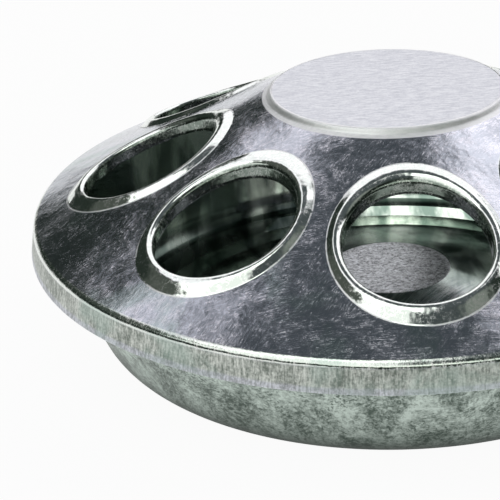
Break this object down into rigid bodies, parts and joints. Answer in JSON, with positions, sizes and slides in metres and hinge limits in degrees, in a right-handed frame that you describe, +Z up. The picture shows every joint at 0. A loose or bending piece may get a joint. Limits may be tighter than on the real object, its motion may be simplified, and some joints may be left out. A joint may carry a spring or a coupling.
{
  "type": "chick feeder",
  "caption": "Round sheet-steel feeder for chicks: a shallow pan under a sloping lift-off lid with lipped feeding holes round it.",
  "frame": {"origin": "middle of the pan's standing face, on the surface that the feeder stands on", "axes": "+Z up along the feeder's axis; -Y from the axis towards the middle of one feeding hole"},
  "size_m": [0.2164, 0.2164, 0.0755],
  "materials": {
    "pan_steel": "galvanised, mottled spangle",
    "lid_steel": "galvanised, drawn bright with fine scratches"
  },
  "bodies": {
    "pan": {"pan": "pan_steel"},
    "lid": {"lid": "lid_steel"}
  },
  "joints": [
    {"name": "lid_lift", "type": "slide", "parent": "pan", "child": "lid", "axis": [0, 0, 1], "range_m": [0, 0.12]}
  ]
}
